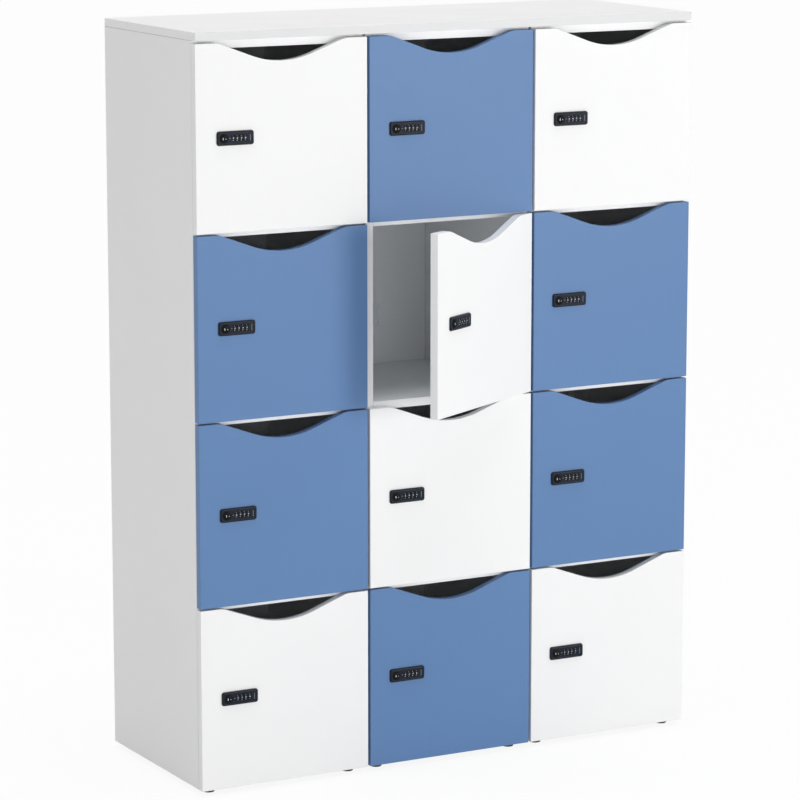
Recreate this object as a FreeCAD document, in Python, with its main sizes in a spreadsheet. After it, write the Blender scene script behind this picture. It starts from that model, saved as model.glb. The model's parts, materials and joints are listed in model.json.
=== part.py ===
import FreeCAD, Part
import math
import os
import re

import Sketcher

# Compartment locker: three columns of four compartments under one finishing top.
# Millimetres, +Z up, the doors face -Y. The origin is on the floor, under the middle of the
# whole locker with its one open door.

COLUMNS = "abc"  # from left to right
ROWS = "1234"  # from top to bottom
OPEN_DOOR = "b2"
WHEELS = 4
DIGITS = 10
CUP_SIDES = 10
GUIDE_SIDES = 24
AXLE_SIDES = 4
SPINDLE_SIDES = 8
KNOB_SIDES = 20
FOOT_SIDES = 12

# Driving dimensions
SIZES = {
    "column_width": 396.0,
    "column_gap": 6.0,
    "carcass_depth": 430.0,
    "board_thickness": 18.0,
    "back_thickness": 8.0,
    "top_thickness": 18.0,
    "foot_height": 12.0,
    "foot_diameter": 25.0,
    "foot_inset": 32.0,
    "foot_setback": 17.0,
    "spacer_length": 40.0,
    "spacer_setback": 60.0,
    "spacer_rise": 110.0,
    "door_height": 390.5,
    "door_thickness": 18.0,
    "door_gap": 4.0,
    "door_clearance": 2.0,
    "top_gap": 5.5,
    "open_angle": 30.0,
    "notch_width": 310.0,
    "notch_depth": 41.0,
    "notch_bottom_radius": 200.0,
    "notch_lip_radius": 45.0,
    "hinge_inset": 3.0,
    "hinge_setback": 3.0,
    "hinge_margin": 80.0,
    "cup_diameter": 35.0,
    "cup_depth": 11.5,
    "cup_wall": 1.5,
    "cup_margin": 5.0,
    "cup_clearance": 0.2,
    "plate_length": 44.0,
    "plate_height": 18.0,
    "plate_thickness": 3.0,
    "plate_setback": 22.0,
    "arm_height": 12.0,
    "arm_thickness": 9.0,
    "arm_neck": 14.0,
    "tip_thickness": 7.0,
    "tip_neck": 6.0,
    "hinge_clearance": 0.3,
    "lock_width": 85.0,
    "lock_height": 29.5,
    "lock_depth": 5.0,
    "lock_corner": 5.0,
    "lock_inset": 46.0,
    "lock_wall": 1.5,
    "lock_lip": 1.2,
    "lock_end_lip": 4.0,
    "lock_clearance": 0.3,
    "cover_thickness": 1.2,
    "knob_offset": 15.5,
    "knob_diameter": 19.0,
    "knob_depth": 2.2,
    "grip_width": 5.0,
    "grip_depth": 1.5,
    "spindle_radius": 4.0,
    "wheel_offset": 36.5,
    "wheel_pitch": 9.3,
    "wheel_width": 6.4,
    "wheel_radius": 9.0,
    "wheel_proud": 0.6,
    "wheel_clearance": 0.5,
    "axle_radius": 1.5,
    "cam_length": 38.0,
    "cam_width": 14.0,
    "cam_thickness": 2.5,
    "cam_corner": 4.0,
    "cam_clearance": 1.0,
    "strike_depth": 39.0,
    "strike_height": 37.0,
    "strike_thickness": 1.5,
    "strike_tab": 14.0,
}

# Sizes and places that follow from the driving dimensions
LAYOUT = {
    "total_width": f"{len(COLUMNS)} * column_width + {len(COLUMNS) - 1} * column_gap",
    "column_pitch": "column_width + column_gap",
    "door_pitch": "door_height + door_gap",
    "column_height": f"{len(ROWS)} * door_pitch - door_gap + top_gap",
    "carcass_front": "door_thickness + door_clearance",
    "total_depth": "carcass_front + carcass_depth",
    "inner_width": "column_width - 2 * board_thickness",
    "inner_depth": "carcass_depth - back_thickness",
    "door_reach": "column_width - hinge_inset",
    "open_front": "hinge_setback - door_reach * sin(open_angle * 1 deg)"
    " - hinge_setback * cos(open_angle * 1 deg)",
    "front": "-(open_front + total_depth) / 2",
    "hinge_y": "front + hinge_setback",
    "cup_centre": "cup_margin + cup_diameter / 2",
    "cup_radius": "cup_diameter / 2",
    "door_back": "door_thickness - hinge_setback",
    "arm_front": "carcass_front - hinge_setback",
    "side_face": "board_thickness - hinge_inset",
    "arm_face": "side_face + plate_thickness",
    "plate_front": "arm_front + plate_setback",
    "tip_front": "door_back - cup_depth + cup_wall + hinge_clearance",
    "guide_radius": "sqrt(arm_face ^ 2 + tip_front ^ 2) - hinge_clearance",
    "arm_rear": "plate_front + plate_length",
    "lock_x": "lock_inset + lock_width / 2 - door_reach",
    "lock_z": "door_height / 2",
    "body_width": "lock_width - 2 * lock_end_lip",
    "body_height": "lock_height - 2 * lock_lip",
    "knob_x": "knob_offset - lock_width / 2",
    "wheel_x": "wheel_offset - lock_width / 2",
    "axle_y": "wheel_radius - wheel_proud - lock_depth",
    "bay_left": "wheel_x - wheel_width / 2 - lock_wall",
    "bay_right": f"wheel_x + {WHEELS - 1} * wheel_pitch + wheel_width / 2 + lock_wall",
    "bay_height": "2 * (wheel_radius + wheel_clearance)",
    "window_width": "wheel_width + 2 * wheel_clearance",
    "window_height": "2 * wheel_clearance"
    " + 2 * sqrt(wheel_radius ^ 2 - (wheel_radius - wheel_proud - lock_wall) ^ 2)",
    "cam_front": "carcass_front + strike_thickness + cam_clearance",
}

doc = FreeCAD.newDocument("compartment_locker")
sizes = doc.addObject("Spreadsheet::Sheet", "sizes")
for line, (alias, number) in enumerate(SIZES.items(), start=1):
    sizes.set(f"A{line}", alias)
    sizes.set(f"B{line}", str(number))
    sizes.setAlias(f"B{line}", alias)
for line, (alias, formula) in enumerate(LAYOUT.items(), start=1):
    sizes.set(f"D{line}", alias)
    sizes.set(f"E{line}", "=" + formula)
    sizes.setAlias(f"E{line}", alias)
doc.recompute()


def tied(formula):
    """Point each size named in a formula at its cell in the sheet."""
    def cell(match):
        word = match.group()
        return "sizes." + word if word in SIZES or word in LAYOUT else word
    return re.sub(r"[a-z][a-z_]*", cell, formula)


def value(formula):
    """The number that a formula gives with the sheet's present sizes."""
    return float(sizes.evalExpression(tied(formula)))


def bind(thing, **formulas):
    """Tie properties of an object to formulas of the sheet's sizes."""
    for name, formula in formulas.items():
        thing.setExpression(name.replace("__", "."), tied(formula))
    return thing


def place(thing, x="0", y="0", z="0"):
    """Tie an object's position to the sheet."""
    return bind(thing, Placement__Base__x=x, Placement__Base__y=y, Placement__Base__z=z)


def lying(thing):
    """Lay an upright piece down so that it reaches forward from its origin."""
    thing.Placement.Rotation = FreeCAD.Rotation(FreeCAD.Vector(1, 0, 0), 90)
    return thing


def across(thing):
    """Lay an upright piece down so that it reaches to the right from its origin."""
    thing.Placement.Rotation = FreeCAD.Rotation(FreeCAD.Vector(0, 1, 0), 90)
    return thing


def box(name, length, width, height, x="0", y="0", z="0"):
    """A board or block with its lowest corner at x, y, z."""
    block = doc.addObject("Part::Box", name)
    bind(block, Length=length, Width=width, Height=height)
    return place(block, x, y, z)


def prism(name, sides, radius, height, x="0", y="0", z="0"):
    """An upright piece with a regular outline."""
    piece = doc.addObject("Part::Prism", name)
    piece.Polygon = sides
    return place(bind(piece, Circumradius=radius, Height=height), x, y, z)


def clear_of(radius, sides):
    """Circumradius of a bore with flat sides in which a piece of the given radius can turn."""
    return f"({radius} + lock_clearance) / cos(180 deg / {sides})"


def cut(name, base, tool):
    """Take one object away from another."""
    result = doc.addObject("Part::Cut", name)
    result.Base = base
    result.Tool = tool
    return result


def group(name, pieces):
    """Hold separate solids together under one name."""
    holder = doc.addObject("Part::Compound", name)
    holder.Links = pieces
    return holder


def new_body(name):
    return doc.addObject("PartDesign::Body", name)


def new_sketch(body, name, role, lift="0"):
    """A sketch on one of its body's own planes, lifted along the plane's normal."""
    sketch = body.newObject("Sketcher::SketchObject", name)
    plane = next(feature for feature in body.Origin.OriginFeatures if feature.Role == role)
    sketch.AttachmentSupport = (plane, [""])
    sketch.MapMode = "FlatFace"
    return bind(sketch, AttachmentOffset__Base__z=lift)


def dimension(sketch, kind, where, formula):
    """Add a dimension to a sketch and tie it to the sheet."""
    index = sketch.addConstraint(Sketcher.Constraint(kind, *where, value(formula)))
    name = f"size_{index}"
    sketch.renameConstraint(index, name)
    sketch.setExpression("Constraints." + name, tied(formula))


def outline(sketch, corners):
    """A closed outline of straight lines whose corners are pairs of formulas."""
    points = [FreeCAD.Vector(value(x), value(y), 0) for x, y in corners]
    count = len(points)
    for i in range(count):
        sketch.addGeometry(Part.LineSegment(points[i], points[(i + 1) % count]), False)
    for i in range(count):
        sketch.addConstraint(Sketcher.Constraint("Coincident", i, 2, (i + 1) % count, 1))
    for i, (x, y) in enumerate(corners):
        dimension(sketch, "DistanceX", (-1, 1, i, 1), x)
        dimension(sketch, "DistanceY", (-1, 1, i, 1), y)
    return sketch


def rectangle(sketch, left, bottom, right, top):
    return outline(sketch, [(left, bottom), (right, bottom), (right, top), (left, top)])


def pad(body, name, sketch, length, reverse=False):
    """Grow a sketch into the body along its normal, or the other way."""
    feature = body.newObject("PartDesign::Pad", name)
    feature.Profile = sketch
    feature.Reversed = reverse
    bind(feature, Length=length)
    doc.recompute()
    return feature


def pocket(body, name, sketch, length, reverse=False):
    """Cut a sketch out of the body against its normal, or the other way."""
    before = body.Shape.Volume
    feature = body.newObject("PartDesign::Pocket", name)
    feature.Profile = sketch
    feature.Reversed = reverse
    bind(feature, Length=length)
    doc.recompute()
    if body.Shape.Volume >= before:
        raise RuntimeError(f"{name} cuts nothing")
    return feature


# Carcass


def column_x(column):
    """Left edge of a column, as a formula."""
    return f"-total_width / 2 + {column} * column_pitch"


def side_panel(name, x):
    return box(name, "board_thickness", "carcass_depth", "column_height",
               x, "front + carcass_front", "foot_height")


def level_board(name, column, z):
    """A board let in between a column's sides, in front of its back panel."""
    return box(name, "inner_width", "inner_depth", "board_thickness",
               f"{column_x(column)} + board_thickness", "front + carcass_front", z)


def make_carcass():
    last = len(COLUMNS) - 1
    left_sides = []
    right_sides = []
    tops = []
    bottoms = []
    shelves = []
    backs = []
    for column, letter in enumerate(COLUMNS):
        left_name = "outer_side_left" if column == 0 else f"left_side_{letter}"
        right_name = "outer_side_right" if column == last else f"right_side_{letter}"
        left_sides.append(side_panel(left_name, column_x(column)))
        right_sides.append(side_panel(
            right_name, f"{column_x(column)} + column_width - board_thickness"))
        tops.append(level_board(f"column_top_{letter}", column,
                                "foot_height + column_height - board_thickness"))
        bottoms.append(level_board(f"column_bottom_{letter}", column, "foot_height"))
        for level in range(1, len(ROWS)):
            middle = f"foot_height + {level} * door_pitch - door_gap / 2"
            shelves.append(level_board(f"shelf_{letter}{level}", column,
                                       f"{middle} - board_thickness / 2"))
        backs.append(box(f"back_{letter}", "inner_width", "back_thickness", "column_height",
                         f"{column_x(column)} + board_thickness",
                         "front + total_depth - back_thickness", "foot_height"))
    finishing_top = box("finishing_top", "total_width", "total_depth", "top_thickness",
                        "-total_width / 2", "front", "foot_height + column_height")
    return [
        finishing_top,
        left_sides[0],
        right_sides[last],
        group("inner_side_panels", left_sides[1:] + right_sides[:last]),
        group("column_tops", tops),
        group("column_bottoms", bottoms),
        group("shelves", shelves),
        group("back_panels", backs),
    ]


def make_feet():
    feet = []
    for column, letter in enumerate(COLUMNS):
        for side, x in (("left", "foot_inset"), ("right", "column_width - foot_inset")):
            for end, y in (("front", "carcass_front + foot_setback"),
                           ("rear", "total_depth - foot_setback")):
                feet.append(prism(f"foot_{letter}_{side}_{end}", FOOT_SIDES, "foot_diameter / 2",
                                  "foot_height", f"{column_x(column)} + {x}", f"front + {y}"))
    return group("feet", feet)


def make_spacers():
    """Pads in the seams between the columns."""
    pads = []
    for seam in range(len(COLUMNS) - 1):
        x = f"{column_x(seam)} + column_width"
        for end, y in (("front", "carcass_front + spacer_setback"),
                       ("rear", "total_depth - spacer_setback - spacer_length")):
            for level, z in (("low", "foot_height + spacer_rise"),
                             ("high", "foot_height + column_height - spacer_rise - spacer_length")):
                pads.append(box(f"spacer_{seam}_{end}_{level}", "column_gap", "spacer_length",
                                "spacer_length", x, f"front + {y}", z))
    return group("column_spacers", pads)


# Door pieces, drawn closed, with their origin on the hinge axis at the door's bottom edge


def notched_outline(sketch):
    """The door's front view: a rectangle with the finger notch swept out of its top edge.

    The notch runs from a rounded lip down a straight ramp into a shallow round bottom, and
    up again the same way. The ramp is the common tangent of lip and bottom.
    """
    left = value("-door_reach")
    right = value("hinge_inset")
    top = value("door_height")
    half = value("notch_width") / 2
    depth = value("notch_depth")
    bottom_radius = value("notch_bottom_radius")
    lip_radius = value("notch_lip_radius")
    middle = (left + right) / 2
    drop = bottom_radius - depth + lip_radius
    slope = math.asin((bottom_radius + lip_radius) / math.hypot(half, drop)) - math.atan2(drop, half)
    upright = math.pi / 2
    normal = FreeCAD.Vector(0, 0, 1)

    def point(x, z):
        return FreeCAD.Vector(x, z, 0)

    def arc(centre, radius, start, end):
        return Part.ArcOfCircle(Part.Circle(centre, normal, radius), start, end)

    def lip(side):
        """Lowest point of the rounded lip on the right (1) or left (-1)."""
        return point(middle + side * (half - lip_radius * math.sin(slope)),
                     top - lip_radius * (1 - math.cos(slope)))

    def foot(side):
        """End of the round bottom on the right (1) or left (-1)."""
        return point(middle + side * bottom_radius * math.sin(slope),
                     top - depth + bottom_radius * (1 - math.cos(slope)))

    edges = [
        Part.LineSegment(point(left, 0), point(right, 0)),
        Part.LineSegment(point(right, 0), point(right, top)),
        Part.LineSegment(point(right, top), point(middle + half, top)),
        arc(point(middle + half, top - lip_radius), lip_radius, upright, upright + slope),
        Part.LineSegment(lip(1), foot(1)),
        arc(point(middle, top - depth + bottom_radius), bottom_radius,
            -upright - slope, -upright + slope),
        Part.LineSegment(foot(-1), lip(-1)),
        arc(point(middle - half, top - lip_radius), lip_radius, upright - slope, upright),
        Part.LineSegment(point(middle - half, top), point(left, top)),
        Part.LineSegment(point(left, top), point(left, 0)),
    ]
    for edge in edges:
        sketch.addGeometry(edge, False)
    base, right_edge, right_top, right_lip, right_ramp, bottom, left_ramp, left_lip, left_top, left_edge = \
        range(len(edges))
    rules = [
        ("Coincident", base, 2, right_edge, 1),
        ("Coincident", right_edge, 2, right_top, 1),
        ("Coincident", left_top, 2, left_edge, 1),
        ("Coincident", left_edge, 2, base, 1),
        ("Tangent", right_top, 2, right_lip, 1),
        ("Tangent", right_lip, 2, right_ramp, 1),
        ("Tangent", right_ramp, 2, bottom, 2),
        ("Tangent", bottom, 1, left_ramp, 1),
        ("Tangent", left_ramp, 2, left_lip, 1),
        ("Tangent", left_lip, 2, left_top, 1),
        ("Horizontal", base),
        ("Vertical", right_edge),
        ("Horizontal", right_top),
        ("Horizontal", left_top),
        ("Vertical", left_edge),
        ("Equal", right_top, left_top),
        ("Equal", right_lip, left_lip),
        ("PointOnObject", base, 1, -1),
    ]
    for rule in rules:
        sketch.addConstraint(Sketcher.Constraint(*rule))
    dimension(sketch, "DistanceX", (-1, 1, base, 2), "hinge_inset")
    dimension(sketch, "DistanceX", (base, 1, base, 2), "column_width")
    dimension(sketch, "DistanceY", (right_edge, 1, right_edge, 2), "door_height")
    dimension(sketch, "DistanceX", (left_lip, 2, right_lip, 1), "notch_width")
    dimension(sketch, "Radius", (right_lip,), "notch_lip_radius")
    dimension(sketch, "Radius", (bottom,), "notch_bottom_radius")
    dimension(sketch, "DistanceY", (-1, 1, bottom, 3), "door_height - notch_depth + notch_bottom_radius")


def make_door_panel():
    """The notched panel, with the lock's cut-out and the two cup bores in its back."""
    body = new_body("notched_panel")
    front_view = new_sketch(body, "door_outline", "XZ_Plane", "-door_back")
    notched_outline(front_view)
    pad(body, "door_slab", front_view, "door_thickness")
    window = new_sketch(body, "lock_cut_out", "XZ_Plane", "-door_back")
    half_width = "body_width / 2 + lock_clearance"
    half_height = "body_height / 2 + lock_clearance"
    rectangle(window, f"lock_x - ({half_width})", f"lock_z - ({half_height})",
              f"lock_x + {half_width}", f"lock_z + {half_height}")
    pocket(body, "lock_opening", window, "door_thickness", reverse=True)
    bores = [cup_prism(f"cup_bore_{end}", "cup_radius", "cup_depth", z) for end, z in hinge_heights()]
    return cut("door_panel", body, group("cup_bores", bores))


def hinge_heights():
    return (("low", "hinge_margin"), ("high", "door_height - hinge_margin"))


def cup_prism(name, radius, depth, z):
    """A prism that reaches from the door's back to the given depth."""
    return lying(prism(name, CUP_SIDES, radius, depth, "hinge_inset - cup_centre", "door_back", z))


def make_hinge_cups():
    """Cups whose inner block is round about the hinge axis, so that the arm's tip runs along it."""
    cups = []
    for end, z in hinge_heights():
        outside = cup_prism(f"cup_outside_{end}", "cup_radius - cup_clearance", "cup_depth", z)
        inside = cup_prism(f"cup_inside_{end}", "cup_radius - cup_clearance - cup_wall",
                           "cup_depth - cup_wall", z)
        guide = prism(f"cup_guide_{end}", GUIDE_SIDES, "guide_radius", "cup_diameter",
                      z=f"{z} - cup_radius")
        hollow = cut(f"cup_hollow_{end}", inside, guide)
        cups.append(cut(f"hinge_cup_{end}", outside, hollow))
    return cups


def at_lock(thing, x="0", y="0"):
    """Place a lock piece; its own origin is the middle of the lock on the door's front face."""
    return place(thing, f"lock_x + {x}", f"{y} - hinge_setback", "lock_z")


def edges_along_y(shape):
    """Names of the edges that run from front to back."""
    names = []
    for number, edge in enumerate(shape.Edges, start=1):
        direction = edge.tangentAt(edge.FirstParameter)
        if abs(abs(direction.y) - 1) < 1e-6:
            names.append(f"Edge{number}")
    return names


def make_lock_case():
    """Bezel in front of the door, body through the door, and a bay for the wheels behind windows."""
    body = at_lock(new_body("lock_shell"))
    bezel = new_sketch(body, "bezel_outline", "XZ_Plane")
    rectangle(bezel, "-lock_width / 2", "-lock_height / 2", "lock_width / 2", "lock_height / 2")
    plate = pad(body, "bezel", bezel, "lock_depth")
    corners = body.newObject("PartDesign::Fillet", "bezel_corners")
    corners.Base = (plate, edges_along_y(plate.Shape))
    bind(corners, Radius="lock_corner")
    doc.recompute()
    trunk = new_sketch(body, "trunk_outline", "XZ_Plane")
    rectangle(trunk, "-body_width / 2", "-body_height / 2", "body_width / 2", "body_height / 2")
    pad(body, "trunk", trunk, "door_thickness", reverse=True)
    bay = new_sketch(body, "bay_outline", "XZ_Plane", "-door_thickness")
    rectangle(bay, "bay_left", "-bay_height / 2", "bay_right", "bay_height / 2")
    pocket(body, "wheel_bay", bay, "door_thickness + lock_depth - lock_wall", reverse=True)
    window = new_sketch(body, "window_outline", "XZ_Plane", "lock_depth")
    rectangle(window, "wheel_x - window_width / 2", "-window_height / 2",
              "wheel_x + window_width / 2", "window_height / 2")
    first = pocket(body, "window", window, "lock_wall")
    row = body.newObject("PartDesign::LinearPattern", "windows")
    row.Originals = [first]
    row.Direction = (window, ["H_Axis"])
    row.Occurrences = WHEELS
    bind(row, Length=f"{WHEELS - 1} * wheel_pitch")
    body.Tip = row
    doc.recompute()
    bore = lying(prism("spindle_bore", SPINDLE_SIDES, clear_of("spindle_radius", SPINDLE_SIDES),
                       "lock_depth + door_thickness"))
    at_lock(bore, "knob_x", "door_thickness")
    return cut("lock_case", body, bore)


def make_lock_cover():
    """Plate that closes the wheel bay at the back of the case."""
    cover = box("lock_cover", "bay_right - bay_left + 2 * lock_wall", "cover_thickness", "body_height")
    return place(cover, "lock_x + bay_left - lock_wall", "door_back", "lock_z - body_height / 2")


def make_axle():
    """Fixed pin across the bay, on which the wheels turn."""
    pin = across(prism("wheel_axle", AXLE_SIDES, "axle_radius", "bay_right - bay_left"))
    return at_lock(pin, "bay_left", "axle_y")


def make_wheels():
    """Ten-sided number wheels, each with a bore that clears the axle as it turns."""
    wheels = []
    for number in range(WHEELS):
        rim = across(prism(f"wheel_rim_{number}", DIGITS, "wheel_radius", "wheel_width"))
        bore = across(prism(f"wheel_bore_{number}", AXLE_SIDES, clear_of("axle_radius", AXLE_SIDES),
                            "wheel_width"))
        for piece in (rim, bore):
            at_lock(piece, f"wheel_x + {number} * wheel_pitch - wheel_width / 2", "axle_y")
        wheels.append(cut(f"wheel_{number}", rim, bore))
    return wheels


def make_knob():
    """Round knob with a grip bar, on a spindle that runs through the case to the cam."""
    seat = "-lock_depth - lock_clearance"
    disc = lying(prism("knob_disc", KNOB_SIDES, "knob_diameter / 2", "knob_depth"))
    at_lock(disc, "knob_x", seat)
    spindle = lying(prism("knob_spindle", SPINDLE_SIDES, "spindle_radius",
                          "cam_front + lock_depth + lock_clearance"))
    at_lock(spindle, "knob_x", "cam_front")
    grip = box("knob_grip", "grip_width", "grip_depth", "knob_diameter - grip_width")
    place(grip, "lock_x + knob_x - grip_width / 2", f"{seat} - knob_depth - grip_depth - hinge_setback",
          "lock_z - (knob_diameter - grip_width) / 2")
    knob = doc.addObject("Part::MultiFuse", "knob")
    knob.Shapes = [disc, spindle, grip]
    return knob


def make_cam():
    """Flat cam on the spindle's end, hanging down while the lock is open."""
    body = at_lock(new_body("cam"), "knob_x", "cam_front")
    view = new_sketch(body, "cam_outline", "XZ_Plane")
    outline(view, [
        ("-cam_width / 2", "cam_width / 2"),
        ("-cam_width / 2", "cam_corner - cam_length"),
        ("cam_corner - cam_width / 2", "-cam_length"),
        ("cam_width / 2 - cam_corner", "-cam_length"),
        ("cam_width / 2", "cam_corner - cam_length"),
        ("cam_width / 2", "cam_width / 2"),
    ])
    pad(body, "cam_plate", view, "cam_thickness", reverse=True)
    return body


# Fittings on the compartment walls, drawn with their origin on the hinge axis


def make_hinge_arm():
    """Arm from the mounting plate on the side panel forward into the cup."""
    body = new_body("hinge_arm")
    plan = new_sketch(body, "arm_plan", "XY_Plane", "-arm_height / 2")
    outline(plan, [
        ("-arm_face", "arm_rear"),
        ("-arm_face - arm_thickness", "arm_rear"),
        ("-arm_face - arm_thickness", "arm_front + arm_neck"),
        ("-arm_face - tip_thickness", "arm_front + tip_neck"),
        ("-arm_face - tip_thickness", "tip_front"),
        ("-arm_face", "tip_front"),
    ])
    pad(body, "arm", plan, "arm_height")
    plate = box("mounting_plate", "plate_thickness", "plate_length", "plate_height",
                "-arm_face", "plate_front", "-plate_height / 2")
    return [body, plate]


def make_strike():
    """Angle plate on the compartment's left wall; the cam turns in behind its front tab.

    Its origin is the column's left edge, in the plane of the closed door's front.
    """
    body = new_body("strike")
    plan = new_sketch(body, "strike_plan", "XY_Plane", "-strike_height / 2")
    outline(plan, [
        ("board_thickness", "carcass_front"),
        ("board_thickness + strike_tab", "carcass_front"),
        ("board_thickness + strike_tab", "carcass_front + strike_thickness"),
        ("board_thickness + strike_thickness", "carcass_front + strike_thickness"),
        ("board_thickness + strike_thickness", "carcass_front + strike_depth"),
        ("board_thickness", "carcass_front + strike_depth"),
    ])
    pad(body, "strike_plate", plan, "strike_height")
    return body


def compartments():
    """Name, column and door height above the floor, for each compartment."""
    for column, letter in enumerate(COLUMNS):
        for row, digit in enumerate(ROWS):
            yield letter + digit, column, f"foot_height + {len(ROWS) - 1 - row} * door_pitch"


def hinge_x(column):
    return f"{column_x(column)} + door_reach"


def make_doors():
    """Twelve doors, each with its fittings, knob and wheels as nodes of their own."""
    kinds = {
        "door": [make_door_panel()],
        "fittings": [make_lock_case(), make_lock_cover(), make_axle()] + make_hinge_cups(),
        "knob": [make_knob(), make_cam()],
        "wheels": make_wheels(),
    }
    nodes = []
    for name, column, z in compartments():
        for kind, pieces in kinds.items():
            node = place(group(f"{kind}_{name}", pieces), hinge_x(column), "hinge_y", z)
            if name == OPEN_DOOR:
                bind(node, Placement__Rotation__Angle="open_angle * 1 deg")
            nodes.append(node)
    return nodes


def make_wall_fittings():
    arm = make_hinge_arm()
    strike = make_strike()
    arms = []
    strikes = []
    for name, column, z in compartments():
        for end, height in hinge_heights():
            hinge = group(f"hinge_{name}_{end}", arm)
            arms.append(place(hinge, hinge_x(column), "hinge_y", f"{z} + {height}"))
        plate = group(f"strike_{name}", [strike])
        strikes.append(place(plate, column_x(column), "front", f"{z} + lock_z"))
    return [group("hinge_arms", arms), group("strike_plates", strikes)]


def main():
    nodes = make_carcass() + [make_feet(), make_spacers()] + make_wall_fittings() + make_doors()
    doc.recompute()
    for thing in doc.Objects:
        if "Invalid" in thing.State or "Error" in thing.State:
            raise RuntimeError(f"{thing.Label} failed")
    for node in nodes:
        if node.Shape.isNull() or not node.Shape.isValid():
            raise RuntimeError(f"{node.Label} has no valid shape")
    os.makedirs("parts", exist_ok=True)
    for node in nodes:
        node.Shape.exportStep(f"parts/{node.Label}.step")
    print(len(nodes), "nodes,", sum(len(node.Shape.Solids) for node in nodes), "solids")


main()
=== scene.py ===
# %% [markdown]
# # A compartment locker
#
# The locker has three columns of four small compartments under one common top. Each compartment
# has a door with a finger notch in its top edge and a combination lock on its left. One door
# stands partly open. The CAD model holds every board, hinge and lock at its real size, and this
# lesson gives them their finish and the small forms that the eye expects up close.
#
# The CAD model comes in first, as a fixed frame. Its solids are never moved, so every piece
# that is added here takes its place from them.

# %% Load the frame
import json
import math

import bmesh
import bpy
from mathutils import Matrix, Vector

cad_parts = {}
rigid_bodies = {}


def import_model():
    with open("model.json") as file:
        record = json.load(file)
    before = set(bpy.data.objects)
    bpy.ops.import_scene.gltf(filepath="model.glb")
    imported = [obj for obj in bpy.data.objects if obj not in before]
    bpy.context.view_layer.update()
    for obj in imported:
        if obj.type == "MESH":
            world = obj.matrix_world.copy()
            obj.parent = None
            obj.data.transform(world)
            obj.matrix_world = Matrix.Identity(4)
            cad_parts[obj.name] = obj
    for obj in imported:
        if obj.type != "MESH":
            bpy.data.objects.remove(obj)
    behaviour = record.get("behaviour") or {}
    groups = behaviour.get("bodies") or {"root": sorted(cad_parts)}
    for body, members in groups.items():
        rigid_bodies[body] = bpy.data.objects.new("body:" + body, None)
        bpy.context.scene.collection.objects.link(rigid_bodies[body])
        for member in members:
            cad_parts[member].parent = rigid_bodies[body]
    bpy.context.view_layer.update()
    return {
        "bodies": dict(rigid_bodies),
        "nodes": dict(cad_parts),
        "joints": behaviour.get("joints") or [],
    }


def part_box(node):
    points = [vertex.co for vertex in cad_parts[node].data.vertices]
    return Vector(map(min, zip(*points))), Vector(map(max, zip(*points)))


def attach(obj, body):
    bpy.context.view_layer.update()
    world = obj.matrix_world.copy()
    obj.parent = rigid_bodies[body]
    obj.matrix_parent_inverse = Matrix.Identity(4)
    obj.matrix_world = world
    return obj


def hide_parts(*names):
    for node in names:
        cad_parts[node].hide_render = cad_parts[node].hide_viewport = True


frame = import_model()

MM = 0.001
nodes = frame["nodes"]
joints = {joint["name"]: joint for joint in frame["joints"]}

# %% [markdown]
# ## A space for each door
#
# The twelve doors are alike, so a lock or a hinge cup is modelled once and placed twelve times.
# That needs a space that belongs to the door: its origin is on the hinge line at the door's
# bottom edge, x runs along the door and y from its front to its back. The joints in the frame
# say where each hinge line is, and the axis of the number wheels says how far the door is open.

# %% Door spaces
BLUE_DOORS = {"b1", "a2", "c2", "a3", "c3", "b4"}
CLOSED_DOOR = "a1"
doors = sorted(body.removeprefix("door_") for body in frame["bodies"] if body.startswith("door_"))


def door_space(door):
    """From a door's own space to the locker's."""
    along = joints["wheels_spin_" + door]["axis"]
    opened = math.atan2(along[1], along[0])
    hinge = Matrix.Translation(joints["door_hinge_" + door]["pos_m"])
    return hinge @ Matrix.Rotation(opened, 4, "Z")


def in_door(point):
    """A point of the closed door, in that door's own space."""
    return door_space(CLOSED_DOOR).inverted() @ Vector(point)


door_low, door_high = (in_door(corner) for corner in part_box("door_" + CLOSED_DOOR))
axle = in_door(joints["wheels_spin_" + CLOSED_DOOR]["pos_m"])
knob_axis = in_door(joints["knob_turn_" + CLOSED_DOOR]["pos_m"])
lock_space = Matrix.Translation((axle.x, door_low.y, axle.z))
knob_x = knob_axis.x - axle.x
print(len(doors), "doors of", [round(size / MM, 1) for size in door_high - door_low], "mm")

# %% [markdown]
# ## Camera
#
# The photograph looks down a little at the locker's left front corner, from far away through a
# long lens, so that the columns shrink only slightly towards the right. The camera repeats that
# place, turn and lens, without any shift, so that other views stay centred too.

# %% Camera
CAMERA_PLACE = (-3.717, -6.7118, 2.188)
CAMERA_LOOK_DOWN = math.radians(10.406)
CAMERA_TURN_RIGHT = math.radians(28.605)
CAMERA_LENS = 161.11
CAMERA_FAR = 400.0

camera_data = bpy.data.cameras.new("camera")
camera_data.lens = CAMERA_LENS
camera_data.clip_end = CAMERA_FAR
camera = bpy.data.objects.new("camera", camera_data)
camera.location = CAMERA_PLACE
camera.rotation_euler = (math.pi / 2 - CAMERA_LOOK_DOWN, 0, -CAMERA_TURN_RIGHT)
bpy.context.scene.collection.objects.link(camera)
bpy.context.scene.camera = camera
bpy.context.scene.view_settings.view_transform = "Standard"
print("camera", CAMERA_LENS, "mm, looking", [round(x, 3) for x in camera.rotation_euler])

# %% [markdown]
# ## Small helpers for nodes
#
# Materials are built from nodes, and writing each node out by hand hides what it is for. This
# helper makes a node and fills its inputs in one go: a value is set on the socket, and another
# node's output is linked to it.

# %% Node helpers
MIX_FACTOR, MIX_A, MIX_B, MIX_RESULT = 0, 6, 7, 2


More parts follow.
